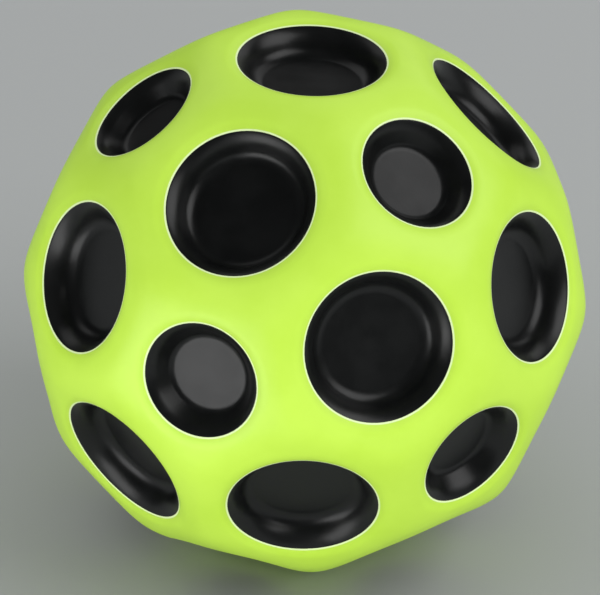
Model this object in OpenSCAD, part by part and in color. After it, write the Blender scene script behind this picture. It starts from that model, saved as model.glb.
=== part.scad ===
// High-bounce ball covered in round craters: a resilient core, a lime skin and black crater linings.
// The ball is centred on the origin with +Z up, and stands on the flat ring round a large crater.
// Large craters sit at the corners of a dodecahedron and small ones in the middles of its faces.

/* [Ball] */
// Diameter over the crests of the lime lands
ball_d = 63.5; // [50:0.5:80]
// Thickness of the lime skin under a crest
skin_t = 1.7; // [1.4:0.1:2]
// Width of the round crest along the middle of a lime rib
crest_w = 0.6; // [0.5:0.1:1.2]
// Share of the land between a mouth and a crest that stays flat
flat_share = 0.5; // [0.4:0.01:0.65]
// Angle by which a round of a land stops short of smooth at its ends
crease = 5; // [4:0.5:6]
// Radius of the rounded edge of a crater
shoulder_r = 3.1; // [2:0.1:3.5]

/* [Large craters] */
// Width of the lime rib between the linings of two large craters
large_rib_w = 6.7; // [5.5:0.1:8]
// Depth of the floor below the flat ring round the mouth
large_depth = 3.15; // [2:0.05:4]
// Slope of the wall at its steepest
large_slope = 68; // [50:1:75]
// Radius of the fillet between wall and floor
large_fillet_r = 1.6; // [0.6:0.1:2]

/* [Small craters] */
// Width of the lime rib between the linings of a small crater and a large one
small_rib_w = 6.05; // [5:0.05:7]
// Depth of the floor below the flat ring round the mouth
small_depth = 2.85; // [2:0.05:3.5]
// Slope of the wall at its steepest
small_slope = 56; // [45:1:65]
// Radius of the fillet between wall and floor
small_fillet_r = 1.05; // [0.5:0.05:1.5]

/* [Linings] */
// Thickness of a black lining
lining_t = 0.8; // [0.5:0.1:1.2]
// Drop of the lime from the flat ring down the rounded edge to the lining
lip_h = 0.4; // [0.3:0.05:0.6]
// Width of the lining's edge under the lime
lap_w = 0.9; // [0.6:0.1:1.1]
// Room for the bond between two layers
bond_gap = 0.05; // [0.02:0.01:0.1]

/* [Hidden] */
$fn = 128;
// How far a cut runs past what it cuts
overrun = 0.5;
ball_r = ball_d / 2;
core_r = ball_r - skin_t;

// Angles between the axes of neighbouring craters
large_to_large = acos(sqrt(5) / 3);
large_to_small = acos(sqrt((5 + 2 * sqrt(5)) / 15));
// Angle that a width on the ball takes up at the middle of the ball
function angle_of(width) = 2 * asin(width / 2 / ball_r);
// Angles from a crater's axis to the edge of the black, and to the crest round it
large_border = (large_to_large - angle_of(large_rib_w)) / 2;
small_border = large_to_small - large_border - angle_of(small_rib_w);
large_edge = (large_to_large - angle_of(crest_w)) / 2;
small_edge = large_to_small - large_edge - angle_of(crest_w);

// A crater kind is its angles to border and crest, its depth, its slope and its fillet
LARGE = [large_border, large_edge, large_depth, large_slope, large_fillet_r];
SMALL = [small_border, small_edge, small_depth, small_slope, small_fillet_r];
function border_r(kind) = ball_r * sin(kind[0]);
function edge_angle(kind) = kind[1];
function depth(kind) = kind[2];
function slope(kind) = kind[3];
function fillet_r(kind) = kind[4];

// A crater's edge is a round shoulder, then a straight wall and a fillet lead to its flat floor
// Largest share of the depth that the two rounds take, so that some straight wall is left
round_share = 0.97;
function fillet_h(kind) = fillet_r(kind) * (1 - cos(slope(kind)));
function rounds_h(kind) = shoulder_r * (cos(crease) - cos(slope(kind))) + fillet_h(kind);
function ease(kind) = min(1, round_share * depth(kind) / rounds_h(kind));
function shoulder(kind) = shoulder_r * ease(kind);
function fillet(kind) = fillet_r(kind) * ease(kind);
function border_slope(kind) = acos(cos(crease) - lip_h / shoulder(kind));
function shoulder_x(kind) = border_r(kind) + shoulder(kind) * sin(border_slope(kind));
function shoulder_centre(kind) = [shoulder_x(kind), -shoulder(kind) * cos(crease)];
function mouth_r(kind) = shoulder_x(kind) - shoulder(kind) * sin(crease);
function wall_top(kind) = shoulder_centre(kind) + shoulder(kind) * [-sin(slope(kind)), cos(slope(kind))];
function wall_h(kind) = depth(kind) + wall_top(kind).y - fillet_h(kind) * ease(kind);
function wall_foot(kind) = wall_top(kind) - wall_h(kind) * [1 / tan(slope(kind)), 1];
function floor_r(kind) = wall_foot(kind).x - fillet(kind) * sin(slope(kind));
function fillet_centre(kind) = [floor_r(kind), fillet(kind) - depth(kind)];

// A land is a flat ring round the mouth, then a blend that falls to the crest
// Share of a crest's width by which the cut for a land runs past the land, clear of the next one
reach_share = 0.25;
function edge_r(kind) = ball_r * sin(edge_angle(kind));
function edge_z(kind) = ball_r * cos(edge_angle(kind));
function flat_r(kind) = mouth_r(kind) + flat_share * (edge_r(kind) - mouth_r(kind));
function blend_end(kind) = edge_angle(kind) - crease;
function blend_r(kind) = (edge_r(kind) - flat_r(kind)) / (sin(blend_end(kind)) - sin(crease));
function blend_drop(kind) = blend_r(kind) * (cos(crease) - cos(blend_end(kind)));
function blend_centre(kind) = [flat_r(kind) - blend_r(kind) * sin(crease), -blend_r(kind) * cos(crease)];
// Distance of the flat ring from the middle of the ball
function flat_z(kind) = edge_z(kind) + blend_drop(kind);

// Crater axes, with one large crater straight up and another straight down
golden = (1 + sqrt(5)) / 2;
SIGNS = [-1, 1];
UP = [-1, 1, 1] / sqrt(3);
RIGHT = [1, 1, 0] / sqrt(2);
BACK = cross(UP, RIGHT);
function cycled(v, turns) = [v[(3 - turns) % 3], v[(4 - turns) % 3], v[(5 - turns) % 3]];
function aligned(v) = [v * RIGHT, v * BACK, v * UP] / norm(v);
cube_corners = [for (x = SIGNS, y = SIGNS, z = SIGNS) [x, y, z]];
roof_corners = [for (turns = [0:2], a = SIGNS, b = SIGNS) cycled([0, a * golden, b / golden], turns)];
face_middles = [for (turns = [0:2], a = SIGNS, b = SIGNS) cycled([0, a, b * golden], turns)];

// Craters are numbered from the top down, and round the ball within each row
function turn_of(axis) = (atan2(axis.y, axis.x) + 360) % 360;
function lean_of(axis) = atan2(norm([axis.x, axis.y]), axis.z);
function rank(axis) = 360 * round(lean_of(axis)) + turn_of(axis);
function numbered(axes) = len(axes) < 2 ? axes : let (first = rank(axes[0])) concat(
    numbered([for (axis = axes) if (rank(axis) < first) axis]),
    [axes[0]],
    numbered([for (axis = axes) if (rank(axis) > first) axis])
);
large_axes = numbered([for (corner = concat(cube_corners, roof_corners)) aligned(corner)]);
small_axes = numbered([for (middle = face_middles) aligned(middle)]);

// Node names
function name_of(kind_name, i) = str(kind_name, "_crater_lining_", i < 9 ? "0" : "", i + 1);
large_names = [for (i = [0 : len(large_axes) - 1]) name_of("large", i)];
small_names = [for (i = [0 : len(small_axes) - 1]) name_of("small", i)];

// Points a shape that stands on the flat ring of a crater along that crater's axis
module on_land(kind, axis) {
    rotate([0, lean_of(axis), turn_of(axis)])
        translate([0, 0, flat_z(kind)])
            children();
}

// Half outline of a crater's bowl
module bowl_outline(kind) {
    difference() {
        union() {
            polygon([
                [0, -depth(kind)],
                [floor_r(kind), -depth(kind)],
                wall_foot(kind),
                wall_top(kind),
                [mouth_r(kind), 0],
                [mouth_r(kind), overrun],
                [0, overrun]
            ]);
            translate(fillet_centre(kind))
                circle(r = fillet(kind));
        }
        translate(shoulder_centre(kind))
            circle(r = shoulder(kind));
    }
}

// Half outline of the space that a lining fills with its bowl, grown by a gap
module seat_outline(kind, gap) {
    bottom = -depth(kind) - lining_t - gap;
    top = gap - lip_h;
    polygon([
        [0, bottom],
        [floor_r(kind) + lining_t + gap, bottom],
        [border_r(kind) + lap_w + gap, top],
        [0, top]
    ]);
}

// Half outline of the air over a land: above the flat ring and outside the blend
module air_outline(kind) {
    reach = edge_r(kind) + reach_share * crest_w;
    height = ball_r - flat_z(kind) + overrun;
    fall = blend_drop(kind) + overrun;
    square([reach, height]);
    difference() {
        translate([blend_centre(kind).x, -fall])
            square([reach - blend_centre(kind).x, fall + height]);
        translate(blend_centre(kind))
            circle(r = blend_r(kind));
    }
}

// What one crater takes out of the ball: the air over its land, its bowl and the seat of its lining
module crater_cut(kind) {
    rotate_extrude() {
        air_outline(kind);
        bowl_outline(kind);
        seat_outline(kind, bond_gap);
    }
}

module crater_cuts() {
    for (axis = large_axes)
        on_land(LARGE, axis) crater_cut(LARGE);
    for (axis = small_axes)
        on_land(SMALL, axis) crater_cut(SMALL);
}

// Dished lining whose edge lies under the lime lip
module crater_lining(kind) {
    rotate_extrude() {
        difference() {
            seat_outline(kind, 0);
            bowl_outline(kind);
        }
    }
}

module bounce_core() {
    color("#d9d3b0")
        difference() {
            sphere(r = core_r);
            crater_cuts();
        }
}

module lime_skin() {
    color("#c4ec4c")
        difference() {
            sphere(r = ball_r);
            sphere(r = core_r + bond_gap);
            crater_cuts();
        }
}

module large_crater_lining(i) {
    color("#1b1b1b")
        on_land(LARGE, large_axes[i]) crater_lining(LARGE);
}

module small_crater_lining(i) {
    color("#1b1b1b")
        on_land(SMALL, small_axes[i]) crater_lining(SMALL);
}

bounce_core();
lime_skin();
for (i = [0 : len(large_names) - 1])
    large_crater_lining(i);
for (i = [0 : len(small_names) - 1])
    small_crater_lining(i);
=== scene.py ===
"""Looks of a high-bounce ball: a lime net of ribs, black crater linings and a resilient core."""

import logging
import math
from dataclasses import dataclass, field
from enum import Enum
from itertools import product

import bmesh
import bpy
import numpy as np
from mathutils import Matrix, Vector


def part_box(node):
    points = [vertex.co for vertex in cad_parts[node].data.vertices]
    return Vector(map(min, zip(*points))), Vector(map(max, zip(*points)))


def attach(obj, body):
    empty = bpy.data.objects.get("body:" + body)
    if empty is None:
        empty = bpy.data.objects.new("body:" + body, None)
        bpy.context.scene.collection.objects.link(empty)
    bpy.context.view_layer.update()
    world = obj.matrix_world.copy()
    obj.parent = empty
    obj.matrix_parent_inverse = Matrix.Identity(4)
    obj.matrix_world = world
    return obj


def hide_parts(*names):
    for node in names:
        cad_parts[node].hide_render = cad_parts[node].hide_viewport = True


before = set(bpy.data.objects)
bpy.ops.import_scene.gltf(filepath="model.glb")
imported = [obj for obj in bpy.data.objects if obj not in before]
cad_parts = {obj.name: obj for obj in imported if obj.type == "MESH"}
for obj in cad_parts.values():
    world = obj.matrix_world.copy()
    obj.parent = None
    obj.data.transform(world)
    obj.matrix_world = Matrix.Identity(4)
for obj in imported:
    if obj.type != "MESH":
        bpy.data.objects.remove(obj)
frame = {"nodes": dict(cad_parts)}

LOG = logging.getLogger("ball")
MM = 0.001
BODY = "root"
MERGE_DISTANCE = 1e-6
SHARP_ANGLE = math.radians(50)
RIM_DISTANCE = "rim_distance"

# The curve of sRGB colours
COLOUR_STEPS = 255
STRAIGHT_END = 0.04045
STRAIGHT_SLOPE = 12.92
CURVE_OFFSET = 0.055
CURVE_POWER = 2.4


class CraterKind(Enum):
    """The two sizes of crater on the ball."""

    LARGE = "large"
    SMALL = "small"


def srgb(red: int, green: int, blue: int) -> tuple[float, float, float, float]:
    """Turns a colour of 0 to 255 steps into the linear colour that a socket takes.

    Args:
        red: Red step.
        green: Green step.
        blue: Blue step.

    Returns:
        Linear red, green and blue, with full alpha.
    """
    shares = (step / COLOUR_STEPS for step in (red, green, blue))
    linear = (
        s / STRAIGHT_SLOPE if s <= STRAIGHT_END else ((s + CURVE_OFFSET) / (1 + CURVE_OFFSET)) ** CURVE_POWER
        for s in shares
    )
    return (*linear, 1.0)


def direction(azimuth: float, elevation: float) -> Vector:
    """Points away from the middle of the ball.

    Args:
        azimuth: Angle to the right of the front.
        elevation: Angle above the level.

    Returns:
        A direction of length one.
    """
    level = math.cos(elevation)
    return Vector((math.sin(azimuth) * level, -math.cos(azimuth) * level, math.sin(elevation)))


def closed(mesh: bpy.types.Mesh) -> bpy.types.Mesh:
    """Merges a closed mesh's doubles, turns its faces outwards and shades it smooth between sharp edges.

    Args:
        mesh: The mesh of a piece.

    Returns:
        The same mesh.
    """
    work = bmesh.new()
    work.from_mesh(mesh)
    bmesh.ops.remove_doubles(work, verts=work.verts, dist=MERGE_DISTANCE)
    bmesh.ops.recalc_face_normals(work, faces=work.faces)
    work.to_mesh(mesh)
    work.free()
    mesh.shade_smooth()
    mesh.set_sharp_from_angle(angle=SHARP_ANGLE)
    return mesh


@dataclass(frozen=True)
class Section:
    """Half section of a crater: a round shoulder, a straight wall and a fillet to the flat floor."""

    shoulder: float
    slope: float
    fillet: float


SECTIONS = {
    CraterKind.LARGE: Section(shoulder=3.1 * MM, slope=math.radians(68), fillet=1.6 * MM),
    CraterKind.SMALL: Section(shoulder=3.1 * MM, slope=math.radians(56), fillet=1.05 * MM),
}


@dataclass(frozen=True)
class Crater:
    """One crater, measured on the solid of its lining."""

    # Upright share of an axis past which it counts as pointing up or down
    UPRIGHT_SHARE = 0.9

    node: str
    kind: CraterKind
    axis: np.ndarray
    border_r: float
    edge_r: float
    foot_r: float
    border_z: float
    floor_z: float
    foot_z: float

    @property
    def section(self) -> Section:
        """Returns the rounds and the slope of the crater's section."""
        return SECTIONS[self.kind]

    def tangents(self) -> tuple[np.ndarray, np.ndarray]:
        """Finds two directions across the crater.

        Returns:
            Two directions square to the crater's axis and to each other.
        """
        upright = abs(self.axis[2]) >= self.UPRIGHT_SHARE
        helper = np.array((1.0, 0.0, 0.0) if upright else (0.0, 0.0, 1.0))
        first = np.cross(helper, self.axis)
        first /= np.linalg.norm(first)
        return first, np.cross(self.axis, first)


class CraterLayout:
    """Where the craters sit: large ones on a dodecahedron's corners, small ones on its faces."""

    GOLDEN = (1 + math.sqrt(5)) / 2

    def __init__(self, nodes: dict[str, bpy.types.Object]) -> None:
        """Measures every crater on the solids of the frame.

        Args:
            nodes: The frame's solids by name.
        """
        self.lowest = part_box("lime_skin")[0].z
        self.crest_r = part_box("lime_skin")[1].y
        axes = self.axes()
        self.craters = [
            self.measured(name, kind, nodes[name], axes[kind])
            for kind in CraterKind
            for name in sorted(nodes)
            if name.startswith(f"{kind.value}_crater_lining")
        ]
        top = max((c for c in self.craters if c.kind is CraterKind.LARGE), key=lambda c: c.axis[2])
        self.lip_h = -self.lowest - top.border_z

    def axes(self) -> dict[CraterKind, list[np.ndarray]]:
        """Works out the axes of all craters.

        Returns:
            The axes of each kind, with one large crater straight up.
        """
        golden = self.GOLDEN
        signs = (-1, 1)
        cube = [np.array(corner, float) for corner in product(signs, repeat=3)]
        pairs = list(product(signs, repeat=2))
        roof = [np.roll((0, a * golden, b / golden), turn) for turn in range(3) for a, b in pairs]
        faces = [np.roll((0, a, b * golden), turn) for turn in range(3) for a, b in pairs]
        up = np.array((-1, 1, 1)) / math.sqrt(3)
        right = np.array((1, 1, 0)) / math.sqrt(2)
        turn_up = np.stack((right, np.cross(up, right), up))
        unit = {CraterKind.LARGE: cube + roof, CraterKind.SMALL: faces}
        return {kind: [turn_up @ (v / np.linalg.norm(v)) for v in rows] for kind, rows in unit.items()}

    @staticmethod
    def measured(
        name: str, kind: CraterKind, solid: bpy.types.Object, axes: list[np.ndarray]
    ) -> Crater:
        """Measures one lining's solid along and across its axis.

        Args:
            name: Name of the lining's node.
            kind: Size of the crater.
            solid: The node's object.
            axes: All the axes of that kind.

        Returns:
            The crater's place and sizes.
        """
        points = np.array([v.co for v in solid.data.vertices], float)
        axis = max(axes, key=lambda a: float(points.mean(0) @ a))
        height = points @ axis
        radius = np.linalg.norm(points - height[:, None] * axis, axis=1)
        near = 0.01 * MM
        rim = radius[height > height.max() - near]
        foot = radius[height < height.min() + near]
        floor_z = float(height[height > height.min() + near].min())
        return Crater(
            node=name,
            kind=kind,
            axis=axis,
            border_r=float(rim.min()),
            edge_r=float(rim.max()),
            foot_r=float(foot.max()),
            border_z=float(height.max()),
            floor_z=floor_z,
            foot_z=float(height.min()),
        )

    def flat_z(self, crater: Crater) -> float:
        """Returns how far the flat ring round a crater lies from the middle of the ball."""
        return crater.border_z + self.lip_h

    def border_slope(self, crater: Crater) -> float:
        """Returns the slope of a crater's shoulder where the lime ends and the black begins."""
        return math.acos(1 - self.lip_h / crater.section.shoulder)

    def shoulder_point(self, crater: Crater, slope: float) -> np.ndarray:
        """Finds a point on a crater's round shoulder.

        Args:
            crater: The crater.
            slope: Slope of the shoulder at the point.

        Returns:
            Its radius, and its height over the flat ring.
        """
        round_r = crater.section.shoulder
        inward = round_r * (math.sin(slope) - math.sin(self.border_slope(crater)))
        return np.array((crater.border_r - inward, round_r * (math.cos(slope) - 1)))


class NodeGraph:
    """A small helper that adds and links nodes in one tree."""

    # Places of the colour sockets on a Mix node
    FIRST_COLOUR = 6
    SECOND_COLOUR = 7
    MIXED_COLOUR = 2

    def __init__(self, tree: bpy.types.NodeTree) -> None:
        """Keeps the tree.

        Args:
            tree: The node tree to work on.
        """
        self.tree = tree

    def node(self, kind: str, label: str, **settings: object) -> bpy.types.Node:
        """Adds a node.

        Args:
            kind: Blender's name of the node type.
            label: Plain words for what the node does.
            **settings: Properties to set on it.

        Returns:
            The new node.
        """
        made = self.tree.nodes.new(kind)
        made.label = label
        for name, value in settings.items():
            setattr(made, name, value)
        return made

    def link(self, source: bpy.types.NodeSocket, target: bpy.types.NodeSocket) -> None:
        """Links an output to an input."""
        self.tree.links.new(source, target)

    def feed(self, value: object, target: bpy.types.NodeSocket) -> None:
        """Links an output to an input, or sets the input to a plain value.

        Args:
            value: Output socket, number or colour.
            target: Input socket.
        """
        if isinstance(value, bpy.types.NodeSocket):
            self.link(value, target)
        else:
            target.default_value = value

    def math(self, operation: str, first: object, second: object, label: str) -> bpy.types.NodeSocket:
        """Adds a Math node on sockets or numbers.

        Args:
            operation: Blender's name of the operation.
            first: First socket or number.
            second: Second socket or number.
            label: Plain words for what the node does.

        Returns:
            The node's output.
        """
        made = self.node("ShaderNodeMath", label, operation=operation)
        self.feed(first, made.inputs[0])
        self.feed(second, made.inputs[1])
        return made.outputs[0]

    def remap(
        self,
        value: bpy.types.NodeSocket,
        source: tuple[float, float],
        target: tuple[float, float],
        label: str,
    ) -> bpy.types.NodeSocket:
        """Adds a clamped smooth Map Range node.

        Args:
            value: Socket to remap.
            source: Range that comes in.
            target: Range that goes out.
            label: Plain words for what the node does.

        Returns:
            The remapped value.
        """
        made = self.node("ShaderNodeMapRange", label, interpolation_type="SMOOTHSTEP")
        self.link(value, made.inputs["Value"])
        made.inputs["From Min"].default_value, made.inputs["From Max"].default_value = source
        made.inputs["To Min"].default_value, made.inputs["To Max"].default_value = target
        return made.outputs["Result"]

    def mix(
        self, factor: bpy.types.NodeSocket, first: object, second: object, label: str
    ) -> bpy.types.NodeSocket:
        """Adds a colour mix on sockets or colours.

        Args:
            factor: Share of the second colour.
            first: Socket or colour at factor 0.
            second: Socket or colour at factor 1.
            label: Plain words for what the node does.

        Returns:
            The mixed colour.
        """
        made = self.node("ShaderNodeMix", label, data_type="RGBA")
        self.link(factor, made.inputs["Factor"])
        self.feed(first, made.inputs[self.FIRST_COLOUR])
        self.feed(second, made.inputs[self.SECOND_COLOUR])
        return made.outputs[self.MIXED_COLOUR]


class MouldedGrain:
    """Shared effect: the fine grain and soft mottling of a moulded surface."""

    NAME = "moulded_grain"
    # Range of the mottling that a finish spreads its colours and gloss over
    MOTTLE_SPAN = (0.3, 0.7)
    DETAIL = {"Grain": 3.0, "Mottle": 4.0}
    NOISE_ROUGHNESS = 0.55

    @classmethod
    def group(cls) -> bpy.types.NodeTree:
        """Returns the shader group, built at its first use."""
        return bpy.data.node_groups.get(cls.NAME) or cls.build()

    @classmethod
    def build(cls) -> bpy.types.NodeTree:
        """Builds the group.

        Returns:
            A group that turns a position into a grain height and a mottling value.
        """
        tree = bpy.data.node_groups.new(cls.NAME, "ShaderNodeTree")
        sockets = (("Vector", "Vector"), ("Grain Scale", "Float"), ("Mottle Scale", "Float"))
        for name, kind in sockets:
            tree.interface.new_socket(name, in_out="INPUT", socket_type=f"NodeSocket{kind}")
        for name in cls.DETAIL:
            tree.interface.new_socket(name, in_out="OUTPUT", socket_type="NodeSocketFloat")
        graph = NodeGraph(tree)
        into = graph.node("NodeGroupInput", "sizes")
        out = graph.node("NodeGroupOutput", "effect")
        for name, detail in cls.DETAIL.items():
            noise = graph.node("ShaderNodeTexNoise", f"{name.lower()} noise")
            noise.inputs["Detail"].default_value = detail
            noise.inputs["Roughness"].default_value = cls.NOISE_ROUGHNESS
            graph.link(into.outputs["Vector"], noise.inputs["Vector"])
            graph.link(into.outputs[f"{name} Scale"], noise.inputs["Scale"])
            graph.link(noise.outputs["Fac"], out.inputs[name])
        return tree


@dataclass(frozen=True)
class Finish:
    """A moulded surface: its colours, gloss and grain."""

    name: str
    colour: tuple[float, float, float, float]
    mottled: tuple[float, float, float, float]
    roughness: tuple[float, float]
    grain_size: float
    grain_depth: float
    mottle_size: float
    specular: float

    def base(self, graph: NodeGraph, mottle: bpy.types.NodeSocket) -> bpy.types.NodeSocket:
        """Mixes the base colour.

        Args:
            graph: Helper on the material's tree.
            mottle: Mottling value over the surface.

        Returns:
            The base colour.
        """
        share = graph.remap(mottle, MouldedGrain.MOTTLE_SPAN, (0.0, 1.0), "how mottled")
        return graph.mix(share, self.colour, self.mottled, "mottled colour")

    def material(self) -> bpy.types.Material:
        """Returns the finish as a material, built at its first use."""
        return bpy.data.materials.get(self.name) or self.build()

    def build(self) -> bpy.types.Material:
        """Builds the material.

        Returns:
            The new material.
        """
        material = bpy.data.materials.new(self.name)
        material.use_nodes = True
        material.node_tree.nodes.clear()
        graph = NodeGraph(material.node_tree)
        place = graph.node("ShaderNodeTexCoord", "place on the ball")
        grain = graph.node("ShaderNodeGroup", "moulded grain", node_tree=MouldedGrain.group())
        grain.inputs["Grain Scale"].default_value = 1 / self.grain_size
        grain.inputs["Mottle Scale"].default_value = 1 / self.mottle_size
        graph.link(place.outputs["Object"], grain.inputs["Vector"])
        bump = graph.node("ShaderNodeBump", "grain relief")
        bump.inputs["Strength"].default_value = 1.0
        bump.inputs["Distance"].default_value = self.grain_depth
        graph.link(grain.outputs["Grain"], bump.inputs["Height"])
        shader = graph.node("ShaderNodeBsdfPrincipled", self.name)
        shader.inputs["Specular IOR Level"].default_value = self.specular
        mottle = grain.outputs["Mottle"]
        graph.link(self.base(graph, mottle), shader.inputs["Base Color"])
        rough = graph.remap(mottle, MouldedGrain.MOTTLE_SPAN, self.roughness, "gloss")
        graph.link(rough, shader.inputs["Roughness"])
        graph.link(bump.outputs["Normal"], shader.inputs["Normal"])
        out = graph.node("ShaderNodeOutputMaterial", "surface")
        graph.link(shader.outputs["BSDF"], out.inputs["Surface"])
        return material


@dataclass(frozen=True)
class LimeFinish(Finish):
    """Lime skin: mottled lime with a painted highlight, a thin pale line, and a faint painted shade along
    the lip of each crater.
    """

    # Painted highlight: the pale line along each crater's lip, even all round
    lip: tuple[float, float, float, float] = srgb(228, 248, 184)
    # Painted shade: the darker lime just outside each lip
    shade: tuple[float, float, float, float] = srgb(182, 220, 64)
    lip_highlight_width: float = 0.23 * MM
    lip_highlight_full_share: float = 0.6
    shade_width: float = 1.1 * MM
    shade_share: float = 0.3

    def base(self, graph: NodeGraph, mottle: bpy.types.NodeSocket) -> bpy.types.NodeSocket:
        """Mixes the base colour, with a painted shade and a painted highlight along the lip, from the
        distance to the black border.

        Args:
            graph: Helper on the material's tree.
            mottle: Mottling value over the surface.

        Returns:
            The base colour.
        """
        plain = super().base(graph, mottle)
        border = graph.node("ShaderNodeAttribute", "border distance", attribute_name=RIM_DISTANCE)
        distance = border.outputs["Fac"]
        # Painted shade just outside the lip
        reach = (self.lip_highlight_width, self.shade_width)
        shaded = graph.remap(distance, reach, (self.shade_share, 0.0), "shade beside the lip")
        body = graph.mix(shaded, plain, self.shade, "shaded lime")
        # Painted highlight: the pale line right at the lip
        reach = (self.lip_highlight_full_share * self.lip_highlight_width, self.lip_highlight_width)
        pale = graph.remap(distance, reach, (1.0, 0.0), "pale lip")
        return graph.mix(pale, body, self.lip, "lime with its pale lip")


LIME = LimeFinish(
    name="lime_skin_finish",
    colour=srgb(194, 236, 67),
    mottled=srgb(200, 241, 76),
    roughness=(0.4, 0.5),
    grain_size=0.35 * MM,
    grain_depth=0.006 * MM,
    mottle_size=9 * MM,
    specular=0.6,
)
BLACK = Finish(
    name="black_lining_finish",
    colour=srgb(16, 17, 17),
    mottled=srgb(20, 21, 21),
    roughness=(0.3, 0.36),
    grain_size=0.5 * MM,
    grain_depth=0.006 * MM,
    mottle_size=3 * MM,
    specular=0.42,
)
CORE = Finish(
    name="bounce_core_finish",
    colour=srgb(217, 211, 176),
    mottled=srgb(200, 192, 150),
    roughness=(0.75, 0.9),
    grain_size=0.6 * MM,
    grain_depth=0.05 * MM,
    mottle_size=4 * MM,
    specular=0.3,
)


def placed(mesh: bpy.types.Mesh, name: str, finish: Finish, slot: str, *nodes: str) -> bpy.types.Object:
    """Makes a finished piece of the ball from a mesh that is already in place.

    Args:
        mesh: The piece's mesh, in the frame's coordinates.
        name: Name of the piece.
        finish: Finish that the piece wears.
        slot: The material slot's name; not used.
        *nodes: Nodes of the frame that it stands for.

    Returns:
        The piece.
    """
    piece = bpy.data.objects.new(name, mesh)
    bpy.context.scene.collection.objects.link(piece)
    mesh.materials.clear()
    mesh.materials.append(finish.material())
    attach(piece, BODY)
    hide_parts(*nodes)
    LOG.info("%s: %d faces", name, len(mesh.polygons))
    return piece


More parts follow.
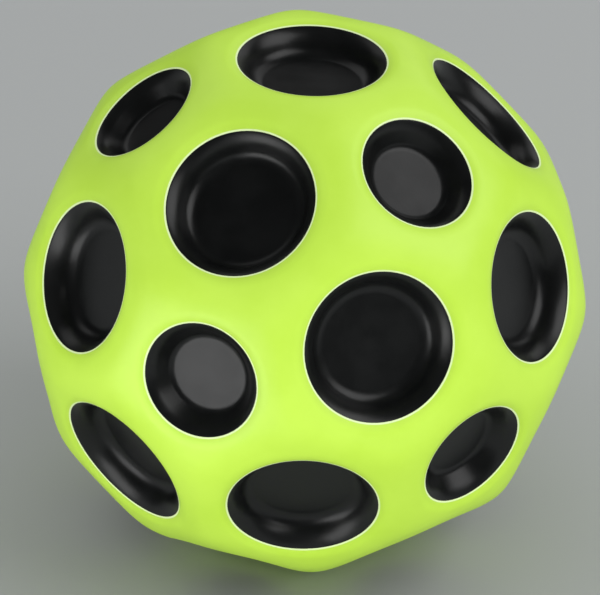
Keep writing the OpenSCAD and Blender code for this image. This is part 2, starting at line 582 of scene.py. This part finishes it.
@dataclass
class LimeSkin:
    """The lime net of ribs: a rounded many-sided ball with a lipped window at each crater."""

    # How many lands border on a crater's land
    NEIGHBOURS = {CraterKind.LARGE: 6, CraterKind.SMALL: 5}

    layout: CraterLayout
    skin_under_crest: float = 1.65 * MM
    sharpness: float = 42.0
    window_run: float = 0.5 * MM
    bond_gap: float = 0.02 * MM
    side_steps: int = 14
    land_rings: int = 9
    lip_rings: int = 8
    inner_rings: int = 3
    axes: np.ndarray = field(init=False)
    flats: np.ndarray = field(init=False)

    def __post_init__(self) -> None:
        """Collects the axes and the distances of the flats round all craters."""
        craters = self.layout.craters
        self.axes = np.stack([c.axis for c in craters])
        self.flats = np.array([self.layout.flat_z(c) for c in craters])

    def swelled(self, points: np.ndarray) -> np.ndarray:
        """Moves points out or in along their directions onto the rounded ball.

        Args:
            points: Points in any place but the middle.

        Returns:
            The points on the ball's outer surface.
        """
        directions = points / np.linalg.norm(points, axis=1, keepdims=True)
        reach = np.maximum(directions @ self.axes.T, 0) / self.flats
        return directions / np.linalg.norm(reach, ord=self.sharpness, axis=1, keepdims=True)

    def cell(self, index: int) -> np.ndarray:
        """Walks round the ridge that bounds a crater's land.

        Args:
            index: Number of the crater.

        Returns:
            Points on the crater's flat plane, anticlockwise, as distances along its two tangents.
        """
        crater = self.layout.craters[index]
        first, second = crater.tangents()
        leans = self.axes @ crater.axis
        around = [j for j in np.argsort(-leans) if j != index][: self.NEIGHBOURS[crater.kind]]
        around.sort(key=lambda j: math.atan2(self.axes[j] @ second, self.axes[j] @ first))
        corners = []
        for j, k in zip(around, around[1:] + around[:1], strict=True):
            rows = self.axes[[j, k]]
            across = np.stack((rows @ first, rows @ second), axis=1)
            left_over = self.flats[[j, k]] - self.flats[index] * leans[[j, k]]
            corners.append(np.linalg.solve(across, left_over))
        shares = np.arange(self.side_steps)[:, None] / self.side_steps
        walk = [a + (b - a) * shares for a, b in zip(corners, corners[1:] + corners[:1], strict=True)]
        return np.concatenate(walk)

    def lip(self, crater: Crater) -> list[np.ndarray]:
        """Draws the lime part of a crater's round shoulder, from the flat ring to the black border.

        Args:
            crater: The crater.

        Returns:
            Radius, and height over the flat ring, of each point.
        """
        end = self.layout.border_slope(crater)
        slopes = [end * i / self.lip_rings for i in range(self.lip_rings + 1)]
        return [self.layout.shoulder_point(crater, slope) for slope in slopes]

    def rings(self, index: int) -> tuple[list[np.ndarray], list[np.ndarray]]:
        """Lays the closed rings of one crater's land, lip, window and inner face.

        Args:
            index: Number of the crater.

        Returns:
            Rings of points from the outer ridge to the inner ridge, and their distances from the border.
        """
        crater = self.layout.craters[index]
        flat = self.flats[index]
        first, second = crater.tangents()
        ridge = self.cell(index)
        around = ridge / np.linalg.norm(ridge, axis=1, keepdims=True)
        lip = self.lip(crater)
        inner_r = self.layout.crest_r - self.skin_under_crest

        def on_plane(across: np.ndarray) -> np.ndarray:
            """Puts points of the flat plane into the frame."""
            return flat * crater.axis + across[:, :1] * first + across[:, 1:] * second

        def ring_at(radius: float, height: float) -> np.ndarray:
            """Puts a circle round the axis into the frame."""
            return on_plane(radius * around) + height * crater.axis

        rings, distances = [], []

        def keep(points: np.ndarray, distance: np.ndarray | float) -> None:
            """Adds one ring with its distances from the border."""
            rings.append(points)
            distances.append(np.broadcast_to(distance, len(points)))

        lip_start = lip[0][0] * around
        for i in range(self.land_rings, -1, -1):
            across = lip_start + (ridge - lip_start) * i / self.land_rings
            keep(self.swelled(on_plane(across)), np.linalg.norm(across, axis=1) - crater.border_r)
        sunk = rings[-1] @ crater.axis - flat
        for i, (radius, height) in enumerate(lip[1:], 1):
            settled = ((1 - i / self.lip_rings) * sunk)[:, None] * crater.axis
            keep(ring_at(radius, height) + settled, radius - crater.border_r)
        keep(ring_at(crater.edge_r + self.bond_gap, -self.layout.lip_h), 0.0)
        window_r = crater.edge_r - self.window_run
        window_z = math.sqrt(inner_r**2 - window_r**2) - flat
        inner_start = window_r * flat / (flat + window_z) * around
        for i in range(self.inner_rings + 1):
            across = inner_start + (ridge - inner_start) * i / self.inner_rings
            points = on_plane(across)
            keep(points * inner_r / np.linalg.norm(points, axis=1, keepdims=True), 0.0)
        return rings, distances

    def mesh(self) -> bpy.types.Mesh:
        """Joins the rings of all craters into one closed net.

        Returns:
            The net's mesh, with each point's distance from the black border.
        """
        points, faces, distances = [], [], []
        start = 0
        for index in range(len(self.layout.craters)):
            rings, gaps = self.rings(index)
            count = len(rings[0])
            for i, j in product(range(len(rings) - 1), range(count)):
                low, high, after = start + i * count, start + (i + 1) * count, (j + 1) % count
                faces.append((low + j, low + after, high + after, high + j))
            points.extend(rings)
            distances.extend(gaps)
            start += count * len(rings)
        mesh = bpy.data.meshes.new("lime_skin_net")
        mesh.from_pydata(np.concatenate(points).tolist(), [], faces)
        rim_distance = mesh.attributes.new(RIM_DISTANCE, "FLOAT", "POINT")
        rim_distance.data.foreach_set("value", np.concatenate(distances))
        return closed(mesh)

    def build(self) -> bpy.types.Object:
        """Makes the lime skin and dresses it.

        Returns:
            The finished piece.
        """
        return placed(self.mesh(), "lime_net_skin", LIME, "lime_skin", "lime_skin")


@dataclass
class CraterLinings:
    """The black dished linings, each turned from its outline by the same tree."""

    FILLET = "fillet"
    # Inputs of the tree, with the kinds of their sockets
    INPUTS = {
        "Outline": "Geometry",
        "Segments": "Int",
        "Fillet Steps": "Int",
        "Axis": "Vector",
        "Seat Distance": "Float",
        "Finish": "Material",
    }

    layout: CraterLayout
    segments: int = 96
    shoulder_steps: int = 12
    floor_steps: int = 3
    floor_rings_share: float = 0.6
    fillet_steps: int = 12

    def outline(self, crater: Crater) -> bpy.types.Object:
        """Draws half of a lining's section, from the middle of its floor to the middle of its back.

        Args:
            crater: The crater that the lining lies in.

        Returns:
            An object of edges, with a fillet radius at each corner.
        """
        flat = self.layout.flat_z(crater)
        low, high, foot = crater.floor_z - flat, crater.border_z - flat, crater.foot_z - flat
        slope = crater.section.slope
        slopes = np.linspace(slope, self.layout.border_slope(crater), self.shoulder_steps + 1)
        shoulder = [self.layout.shoulder_point(crater, s) for s in slopes]
        wall_top = shoulder[0]
        wall_foot = wall_top[0] - (wall_top[1] - low) / math.tan(slope)
        shares = [i / self.floor_steps for i in range(self.floor_steps)]
        corners = [(self.floor_rings_share * wall_foot * s, low, 0.0) for s in shares]
        corners += [(wall_foot, low, crater.section.fillet)]
        corners += [(*point, 0.0) for point in shoulder]
        corners += [(crater.edge_r, high, 0.0), (crater.foot_r, foot, 0.0)]
        corners += [(crater.foot_r * s, foot, 0.0) for s in reversed(shares)]
        mesh = bpy.data.meshes.new("lining_outline")
        chain = [(i, i + 1) for i in range(len(corners) - 1)]
        mesh.from_pydata([(r, 0.0, z) for r, z, _ in corners], chain, [])
        fillets = mesh.attributes.new(self.FILLET, "FLOAT", "POINT")
        fillets.data.foreach_set("value", [fillet for _, _, fillet in corners])
        outline = bpy.data.objects.new("lining_outline", mesh)
        bpy.context.scene.collection.objects.link(outline)
        return outline

    def rounded_outline(self, graph: NodeGraph, into: bpy.types.Node) -> bpy.types.NodeSocket:
        """Adds the nodes that round an outline's corners.

        Args:
            graph: Helper on the tree.
            into: Node that holds the tree's inputs.

        Returns:
            The rounded outline, as a curve.
        """
        curve = graph.node("GeometryNodeMeshToCurve", "outline as a curve")
        graph.link(into.outputs["Outline"], curve.inputs["Mesh"])
        fillet = graph.node("GeometryNodeInputNamedAttribute", "fillet radius", data_type="FLOAT")
        fillet.inputs["Name"].default_value = self.FILLET
        rounded = graph.node("GeometryNodeFilletCurve", "round the corners", mode="POLY")
        graph.link(curve.outputs["Curve"], rounded.inputs["Curve"])
        graph.link(into.outputs["Fillet Steps"], rounded.inputs["Count"])
        graph.link(fillet.outputs["Attribute"], rounded.inputs["Radius"])
        return rounded.outputs["Curve"]

    def turned_dish(
        self, graph: NodeGraph, into: bpy.types.Node, outline: bpy.types.NodeSocket
    ) -> bpy.types.NodeSocket:
        """Adds the nodes that turn an outline round the upright axis.

        Args:
            graph: Helper on the tree.
            into: Node that holds the tree's inputs.
            outline: The rounded outline.

        Returns:
            The closed dish, on the flat ring's level.
        """
        count = graph.node("GeometryNodeAttributeDomainSize", "size of the outline", component="CURVE")
        graph.link(outline, count.inputs["Geometry"])
        points = count.outputs["Point Count"]
        segments = into.outputs["Segments"]
        grid = graph.node("GeometryNodeMeshGrid", "unrolled lining")
        graph.link(graph.math("ADD", segments, 1.0, "closing column"), grid.inputs["Vertices X"])
        graph.link(points, grid.inputs["Vertices Y"])
        index = graph.node("GeometryNodeInputIndex", "grid point").outputs["Index"]
        row = graph.math("FLOORED_MODULO", index, points, "place along the outline")
        columns = graph.math("DIVIDE", index, points, "columns so far")
        column = graph.math("FLOOR", columns, 0.0, "column")
        turn = graph.math("DIVIDE", column, segments, "share of a turn")
        angle = graph.math("MULTIPLY", turn, math.tau, "angle")
        where = graph.node("GeometryNodeInputPosition", "outline point")
        sample = graph.node("GeometryNodeSampleIndex", "point of the outline", data_type="FLOAT_VECTOR")
        graph.link(outline, sample.inputs["Geometry"])
        graph.link(where.outputs["Position"], sample.inputs["Value"])
        graph.link(row, sample.inputs["Index"])
        swing = graph.node("ShaderNodeVectorRotate", "swing round the axis", rotation_type="Z_AXIS")
        graph.link(sample.outputs["Value"], swing.inputs["Vector"])
        graph.link(angle, swing.inputs["Angle"])
        turned = graph.node("GeometryNodeSetPosition", "turned lining")
        graph.link(grid.outputs["Mesh"], turned.inputs["Geometry"])
        graph.link(swing.outputs["Vector"], turned.inputs["Position"])
        merged = graph.node("GeometryNodeMergeByDistance", "close seam and poles")
        merged.inputs["Distance"].default_value = MERGE_DISTANCE
        graph.link(turned.outputs["Geometry"], merged.inputs["Geometry"])
        return merged.outputs["Geometry"]

    def seated_dish(
        self, graph: NodeGraph, into: bpy.types.Node, dish: bpy.types.NodeSocket
    ) -> bpy.types.NodeSocket:
        """Adds the nodes that put a dish into its crater.

        Args:
            graph: Helper on the tree.
            into: Node that holds the tree's inputs.
            dish: The closed dish.

        Returns:
            The dish at its seat, facing outwards, as one mesh.
        """
        seat = graph.node("ShaderNodeVectorMath", "seat of the lining", operation="SCALE")
        graph.link(into.outputs["Axis"], seat.inputs[0])
        graph.link(into.outputs["Seat Distance"], seat.inputs["Scale"])
        spot = graph.node("GeometryNodePoints", "one seat")
        graph.link(seat.outputs["Vector"], spot.inputs["Position"])
        facing = graph.node("FunctionNodeAlignRotationToVector", "face outwards", axis="Z")
        graph.link(into.outputs["Axis"], facing.inputs["Vector"])
        seated = graph.node("GeometryNodeInstanceOnPoints", "lining on its seat")
        graph.link(spot.outputs["Points"], seated.inputs["Points"])
        graph.link(dish, seated.inputs["Instance"])
        graph.link(facing.outputs["Rotation"], seated.inputs["Rotation"])
        real = graph.node("GeometryNodeRealizeInstances", "one mesh")
        graph.link(seated.outputs["Instances"], real.inputs["Geometry"])
        return real.outputs["Geometry"]

    def tree(self) -> bpy.types.NodeTree:
        """Builds the tree that rounds an outline's corners, turns it and seats it in its crater.

        Returns:
            The geometry node tree.
        """
        tree = bpy.data.node_groups.new("turned_lining", "GeometryNodeTree")
        for name, kind in self.INPUTS.items():
            tree.interface.new_socket(name, in_out="INPUT", socket_type=f"NodeSocket{kind}")
        tree.interface.new_socket("Lining", in_out="OUTPUT", socket_type="NodeSocketGeometry")
        graph = NodeGraph(tree)
        into = graph.node("NodeGroupInput", "sizes")
        outline = self.rounded_outline(graph, into)
        dish = self.turned_dish(graph, into, outline)
        dressed = graph.node("GeometryNodeSetMaterial", "finish")
        graph.link(self.seated_dish(graph, into, dish), dressed.inputs["Geometry"])
        graph.link(into.outputs["Finish"], dressed.inputs["Material"])
        out = graph.node("NodeGroupOutput", "lining")
        graph.link(dressed.outputs["Geometry"], out.inputs["Lining"])
        return tree

    def turned(self, crater: Crater, tree: bpy.types.NodeTree) -> bpy.types.Mesh:
        """Turns one lining into a plain mesh in its crater.

        Args:
            crater: The crater that the lining lies in.
            tree: The tree that turns it.

        Returns:
            The lining's mesh.
        """
        outline = self.outline(crater)
        modifier = outline.modifiers.new("turned lining", "NODES")
        modifier.node_group = tree
        values = {
            "Segments": self.segments,
            "Fillet Steps": self.fillet_steps,
            "Axis": crater.axis.tolist(),
            "Seat Distance": self.layout.flat_z(crater),
            "Finish": BLACK.material(),
        }
        for item in tree.interface.items_tree:
            if item.name in values:
                modifier[item.identifier] = values[item.name]
        graph = bpy.context.evaluated_depsgraph_get()
        mesh = bpy.data.meshes.new_from_object(outline.evaluated_get(graph))
        outline.modifiers.remove(modifier)
        bpy.data.objects.remove(outline)
        return closed(mesh)

    def build(self) -> list[bpy.types.Object]:
        """Makes every lining and dresses it.

        Returns:
            The finished pieces.
        """
        tree = self.tree()
        pieces = []
        for crater in self.layout.craters:
            name = crater.node.replace("lining", "dish")
            pieces.append(placed(self.turned(crater, tree), name, BLACK, "black_lining", crater.node))
        return pieces


@dataclass
class BounceCore:
    """The resilient core, whose solid already has the right shape."""

    nodes: dict[str, bpy.types.Object]

    def build(self) -> bpy.types.Object:
        """Dresses the core's solid.

        Returns:
            The core.
        """
        core = self.nodes["bounce_core"]
        core.data.materials.clear()
        core.data.materials.append(CORE.material())
        LOG.info("%s: dressed", core.name)
        return core


@dataclass(frozen=True)
class SoftBox:
    """A soft light that faces the ball and stays out of the picture, with its angles in degrees."""

    name: str
    azimuth: float
    elevation: float
    distance: float
    size: tuple[float, float]
    brightness: float
    mirrored: bool = True
    ball_only: bool = False

    def build(self, ball: bpy.types.Collection) -> None:
        """Hangs the light at its place, facing the ball.

        Args:
            ball: The pieces of the ball, which some lights shine on alone.
        """
        light = bpy.data.lights.new(self.name, "AREA")
        light.shape = "RECTANGLE"
        light.size, light.size_y = self.size
        light.energy = self.brightness * math.pi * light.size * light.size_y
        lamp = bpy.data.objects.new(self.name, light)
        back = direction(math.radians(self.azimuth), math.radians(self.elevation))
        lamp.location = back * self.distance
        lamp.rotation_euler = back.to_track_quat("Z", "Y").to_euler()
        lamp.visible_camera = False
        lamp.visible_glossy = self.mirrored
        if self.ball_only:
            lamp.light_linking.receiver_collection = ball
        bpy.context.scene.collection.objects.link(lamp)


@dataclass
class Studio:
    """A plain pale floor, soft light and the camera."""

    floor_z: float
    ball: bpy.types.Collection
    floor_half: float = 3.0
    floor_colour: tuple[float, float, float, float] = srgb(176, 178, 177)
    floor_roughness: float = 0.9
    floor_specular: float = 0.1
    world_colour: tuple[float, float, float, float] = srgb(250, 252, 255)
    world_strength: float = 0.52
    boxes: tuple[SoftBox, ...] = (
        SoftBox("upper_right_box", azimuth=70, elevation=43, distance=0.5,
                size=(0.42, 0.36), brightness=2.1),
        SoftBox("back_left_box", azimuth=-145, elevation=40, distance=0.6,
                size=(0.45, 0.35), brightness=0.6),
        SoftBox("back_right_box", azimuth=150, elevation=30, distance=0.6,
                size=(0.45, 0.35), brightness=0.8),
        SoftBox("low_front_left_card", azimuth=-42, elevation=-4, distance=0.1,
                size=(0.08, 0.045), brightness=2.5, ball_only=True),
        SoftBox("front_fill", azimuth=0, elevation=30, distance=0.6,
                size=(0.5, 0.5), brightness=0.25, mirrored=False),
        SoftBox("upper_left_fill", azimuth=-70, elevation=45, distance=0.6,
                size=(0.5, 0.5), brightness=0.55, mirrored=False),
        SoftBox("low_right_fill", azimuth=45, elevation=8, distance=0.5,
                size=(0.4, 0.15), brightness=1.7, mirrored=False, ball_only=True),
        SoftBox("low_front_fill", azimuth=15, elevation=-10, distance=0.13,
                size=(0.16, 0.014), brightness=5.0, mirrored=False, ball_only=True),
    )
    azimuth: float = math.radians(-1.22)
    elevation: float = math.radians(31.59)
    roll: float = math.radians(1.9)
    distance: float = 0.4019
    lens: float = 213.8
    sensor: float = 36.0
    clip_start: float = 0.01
    picture_px: tuple[int, int] = (600, 595)
    ball_px: tuple[float, float] = (304.2, 292.3)

    def floor(self) -> None:
        """Lays the floor under the ball."""
        half = self.floor_half
        mesh = bpy.data.meshes.new("floor")
        corners = [(x * half, y * half, self.floor_z) for x, y in ((-1, -1), (1, -1), (1, 1), (-1, 1))]
        mesh.from_pydata(corners, [], [(0, 1, 2, 3)])
        material = bpy.data.materials.new("floor_finish")
        material.use_nodes = True
        shader = material.node_tree.nodes["Principled BSDF"]
        shader.inputs["Base Color"].default_value = self.floor_colour
        shader.inputs["Roughness"].default_value = self.floor_roughness
        shader.inputs["Specular IOR Level"].default_value = self.floor_specular
        mesh.materials.append(material)
        floor = bpy.data.objects.new("floor", mesh)
        bpy.context.scene.collection.objects.link(floor)

    def light(self) -> None:
        """Lights the scene softly from all round and from a few soft boxes."""
        world = bpy.data.worlds.new("studio")
        bpy.context.scene.world = world
        world.use_nodes = True
        background = world.node_tree.nodes["Background"]
        background.inputs["Color"].default_value = self.world_colour
        background.inputs["Strength"].default_value = self.world_strength
        world.cycles_visibility.glossy = False
        for box in self.boxes:
            box.build(self.ball)

    def camera(self) -> None:
        """Sets the camera at the photograph's angle and framing."""
        back = direction(self.azimuth, self.elevation)
        level = Vector((0, 0, 1)).cross(back).normalized()
        upright = back.cross(level)
        right = level * math.cos(self.roll) + upright * math.sin(self.roll)
        up = upright * math.cos(self.roll) - level * math.sin(self.roll)
        metres_per_px = self.distance * self.sensor / (self.lens * self.picture_px[0])
        shift_right = (self.ball_px[0] - self.picture_px[0] / 2) * metres_per_px
        shift_up = (self.picture_px[1] / 2 - self.ball_px[1]) * metres_per_px
        camera = bpy.data.objects.new("camera", bpy.data.cameras.new("camera"))
        camera.data.lens = self.lens
        camera.data.sensor_width = self.sensor
        camera.data.clip_start = self.clip_start
        place = back * self.distance - right * shift_right - up * shift_up
        turned = Matrix((right, up, back)).transposed().to_4x4()
        camera.matrix_world = Matrix.Translation(place) @ turned
        bpy.context.scene.collection.objects.link(camera)
        bpy.context.scene.camera = camera

    def build(self) -> None:
        """Sets up the floor, the light, the camera and the view."""
        self.floor()
        self.light()
        self.camera()
        bpy.context.scene.view_settings.view_transform = "Standard"


def plain(corners: tuple[Vector, Vector]) -> list[list[float]]:
    """Turns a box of two corners into plain lists."""
    return [[float(x) for x in corner] for corner in corners]


def main() -> None:
    """Builds the ball's pieces and the studio."""
    logging.basicConfig(level=logging.INFO, format="%(name)s: %(message)s")
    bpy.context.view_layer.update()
    layout = CraterLayout(frame["nodes"])
    skin = LimeSkin(layout).build()
    linings = CraterLinings(layout).build()
    core = BounceCore(frame["nodes"]).build()
    ball = bpy.data.collections.new("ball")
    for piece in (skin, *linings, core):
        ball.objects.link(piece)
    Studio(layout.lowest, ball).build()


if __name__ == "__main__":
    main()
